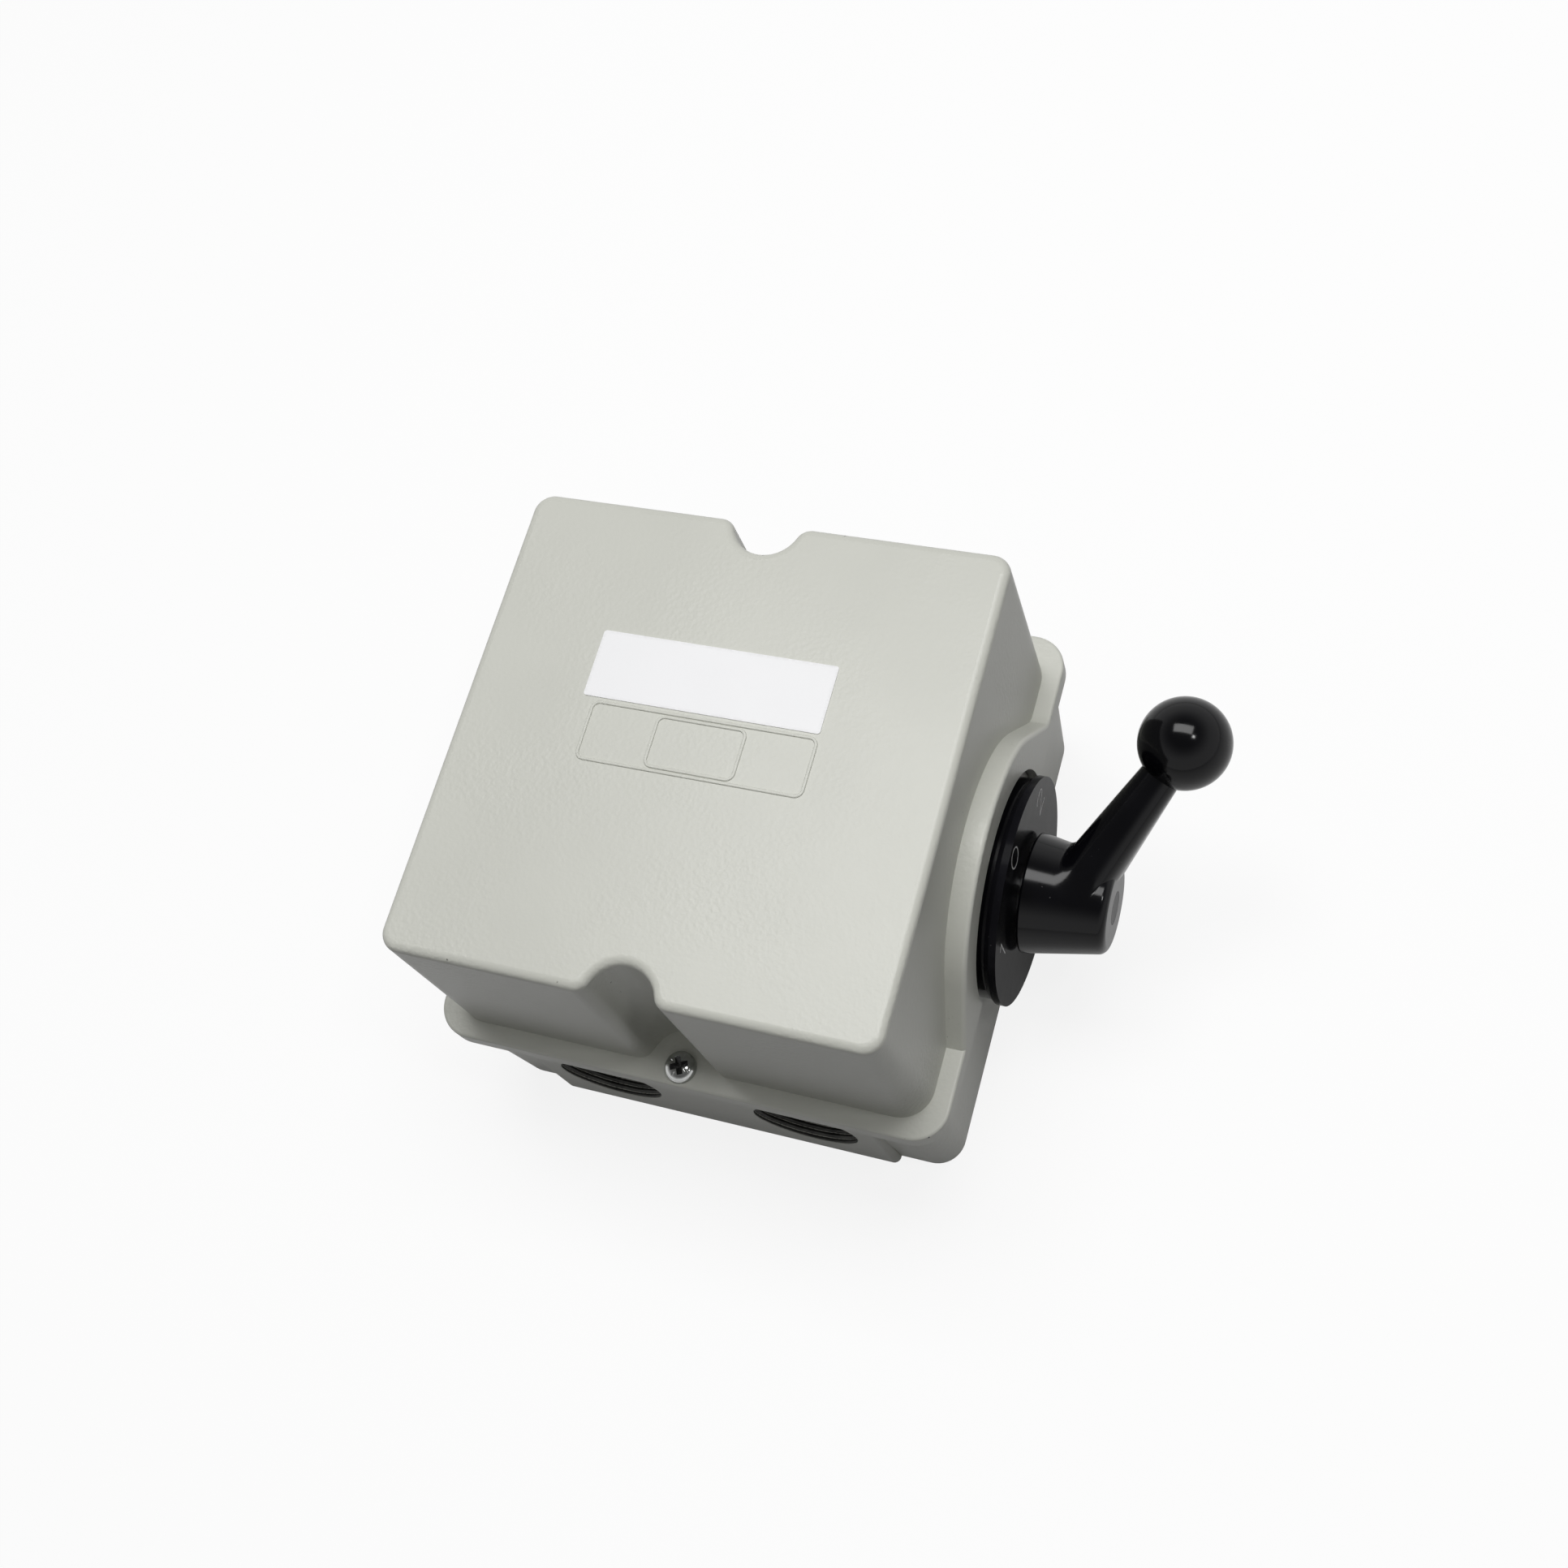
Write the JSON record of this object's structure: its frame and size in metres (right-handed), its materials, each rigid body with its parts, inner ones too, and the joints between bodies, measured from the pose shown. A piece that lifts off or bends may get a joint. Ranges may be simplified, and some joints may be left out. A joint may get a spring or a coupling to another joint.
{
  "type": "rotary motor switch",
  "caption": "Cast box motor switch: rotary packet switch inside, round dial and a cranked ball lever on the side, two threaded cable entries.",
  "frame": {"origin": "centre of the base's flat back face", "axes": "+Z away from the wall towards the lid's face, +X towards the dial and lever, -Y towards the cable entries"},
  "size_m": [0.2032, 0.149, 0.1124],
  "materials": {
    "painted_casting": "gloss grey paint over die-cast aluminium",
    "black_moulding": "gloss black phenolic",
    "grey_cap": "satin black",
    "blank_label": "matt white film",
    "rubber_seal": "matt",
    "zinc_plated_steel": "zinc plated",
    "bright_steel": "plain bright steel",
    "white_moulding": "matt",
    "phenolic": "dark brown phenolic",
    "brass": "plain"
  },
  "bodies": {
    "enclosure": {"base": "painted_casting", "gasket": "rubber_seal", "dial_cup": "black_moulding", "dial_disc": "black_moulding", "wall_screws": "zinc_plated_steel", "shaft_seal": "rubber_seal", "bush": "white_moulding", "mounting_plate": "zinc_plated_steel", "stop_pins": "zinc_plated_steel", "detent_housing": "phenolic", "detent_springs": "bright_steel", "chamber_1": "phenolic", "chamber_2": "phenolic", "chamber_3": "phenolic", "chamber_4": "phenolic", "chamber_5": "phenolic", "contacts_1": "brass", "contacts_2": "brass", "contacts_3": "brass", "contacts_4": "brass", "contacts_5": "brass", "terminal_screws": "zinc_plated_steel", "rear_plate": "zinc_plated_steel", "tie_studs": "zinc_plated_steel", "tie_nuts": "zinc_plated_steel", "earth_washer": "zinc_plated_steel", "earth_screw": "zinc_plated_steel"},
    "lid": {"lid": "painted_casting", "label": "blank_label", "lid_screws": "zinc_plated_steel"},
    "lever": {"handle": "black_moulding", "ball_knob": "black_moulding", "handle_cap": "grey_cap", "handle_screw": "zinc_plated_steel", "shaft": "bright_steel", "drive_sleeve": "bright_steel", "shaft_clip": "bright_steel", "stop_arm": "bright_steel", "detent_block": "white_moulding", "rotor_1": "white_moulding", "rotor_2": "white_moulding", "rotor_3": "white_moulding", "rotor_4": "white_moulding", "rotor_5": "white_moulding", "bridge_1": "brass", "bridge_2": "brass", "bridge_3": "brass", "bridge_4": "brass", "bridge_5": "brass"}
  },
  "joints": [
    {"name": "lever_turn", "type": "hinge", "parent": "enclosure", "child": "lever", "pos_m": [0, 0, 0.0485], "axis": [1, 0, 0], "range_deg": [0, 120], "deforming": ["detent_springs"]},
    {"name": "lid_lift", "type": "slide", "parent": "enclosure", "child": "lid", "axis": [0, 0, 1], "range_m": [0, 0.06]}
  ]
}
